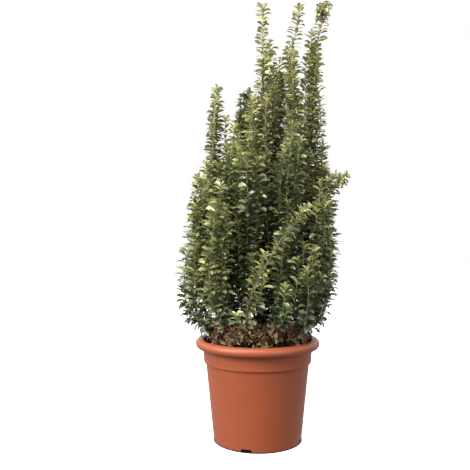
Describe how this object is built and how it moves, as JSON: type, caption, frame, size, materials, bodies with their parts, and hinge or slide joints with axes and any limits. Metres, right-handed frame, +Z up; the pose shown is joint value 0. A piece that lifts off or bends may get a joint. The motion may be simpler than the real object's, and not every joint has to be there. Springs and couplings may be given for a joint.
{
  "type": "potted japanese spindle",
  "caption": "Upright evergreen shrub with stacked small leathery leaves on tall slender shoots, branching low from a short trunk in a round tapered pot with a rolled rim and drain notches.",
  "frame": {"origin": "centre of the pot's flat underside, on the pot's axis", "axes": "+Z up along the pot's axis, -Y towards the viewer's side of the picture, +X to the viewer's right"},
  "size_m": [0.4013, 0.3793, 1.0075],
  "materials": {
    "terracotta_plastic": "smooth moulded plastic in a warm terracotta colour with a soft sheen",
    "soil": "dark brown damp crumbly potting compost",
    "bark": "matt greyish brown bark, finely ridged",
    "foliage": "glossy leathery green leaves, yellow-green at the shoot tips",
    "dry_foliage": "matt dull olive brown dry leaves"
  },
  "bodies": {
    "root": {"bough_back_centre": "bark", "bough_back_inner_left": "bark", "bough_back_inner_right": "bark", "bough_back_left": "bark", "bough_back_right": "bark", "bough_centre_front": "bark", "bough_diagonal": "bark", "bough_front_left": "bark", "bough_front_low": "bark", "bough_front_right_low": "bark", "bough_left": "bark", "bough_left_front": "bark", "bough_left_inner": "bark", "bough_mid_front": "bark", "bough_right": "bark", "bough_right_front": "bark", "bough_right_outer": "bark", "bough_spire_centre": "bark", "bough_spire_inner": "bark", "bough_spire_left": "bark", "bough_spire_right": "bark", "dry_tuft_1": "dry_foliage", "dry_tuft_2": "dry_foliage", "dry_tuft_3": "dry_foliage", "dry_tuft_4": "dry_foliage", "dry_tuft_5": "dry_foliage", "foliage_back_centre": "foliage", "foliage_back_inner_left": "foliage", "foliage_back_inner_right": "foliage", "foliage_back_left": "foliage", "foliage_back_right": "foliage", "foliage_centre_front": "foliage", "foliage_diagonal": "foliage", "foliage_front_left": "foliage", "foliage_front_low": "foliage", "foliage_front_right_low": "foliage", "foliage_left": "foliage", "foliage_left_front": "foliage", "foliage_left_inner": "foliage", "foliage_mid_front": "foliage", "foliage_right": "foliage", "foliage_right_front": "foliage", "foliage_right_outer": "foliage", "foliage_spire_centre": "foliage", "foliage_spire_inner": "foliage", "foliage_spire_left": "foliage", "foliage_spire_right": "foliage", "pot": "terracotta_plastic", "soil": "soil", "trunk": "bark"}
  },
  "joints": []
}
